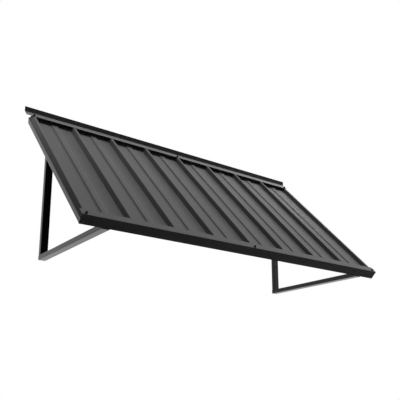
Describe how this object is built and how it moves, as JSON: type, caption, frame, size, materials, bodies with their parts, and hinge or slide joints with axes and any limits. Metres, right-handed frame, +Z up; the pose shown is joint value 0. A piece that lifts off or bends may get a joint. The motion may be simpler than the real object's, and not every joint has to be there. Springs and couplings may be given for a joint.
{
  "type": "awning",
  "caption": "Fixed sloping wall awning: ribbed sheet roof on a tube frame with two triangular wall brackets, wall flashing and eave trim.",
  "frame": {"origin": "middle of the footprint, at the level of the bracket arms' underside", "axes": "+X along the wall, +Y towards the wall, +Z up"},
  "size_m": [1.8948, 0.7325, 0.8218],
  "materials": {
    "roof_sheet": "charcoal coil coating, low gloss",
    "trim": "charcoal coil coating, low gloss",
    "tube": "black powder coat, glossy",
    "closure_foam": "matte",
    "screw": "black painted, satin",
    "sealing_rubber": "matte"
  },
  "bodies": {
    "root": {"arm_left": "tube", "arm_right": "tube", "closure_1": "closure_foam", "closure_2": "closure_foam", "closure_3": "closure_foam", "closure_4": "closure_foam", "closure_5": "closure_foam", "closure_6": "closure_foam", "closure_7": "closure_foam", "closure_8": "closure_foam", "eave_rail": "tube", "eave_screw_1": "screw", "eave_screw_2": "screw", "eave_screw_3": "screw", "eave_trim": "roof_sheet", "eave_washer_1": "sealing_rubber", "eave_washer_2": "sealing_rubber", "eave_washer_3": "sealing_rubber", "flashing_screw_1": "screw", "flashing_screw_2": "screw", "flashing_screw_3": "screw", "flashing_washer_1": "sealing_rubber", "flashing_washer_2": "sealing_rubber", "flashing_washer_3": "sealing_rubber", "post_left": "tube", "post_right": "tube", "rafter_left": "tube", "rafter_right": "tube", "roof_panel_left": "roof_sheet", "roof_panel_right": "roof_sheet", "side_rail_left": "tube", "side_rail_right": "tube", "top_rail": "tube", "wall_flashing": "trim"}
  },
  "joints": []
}
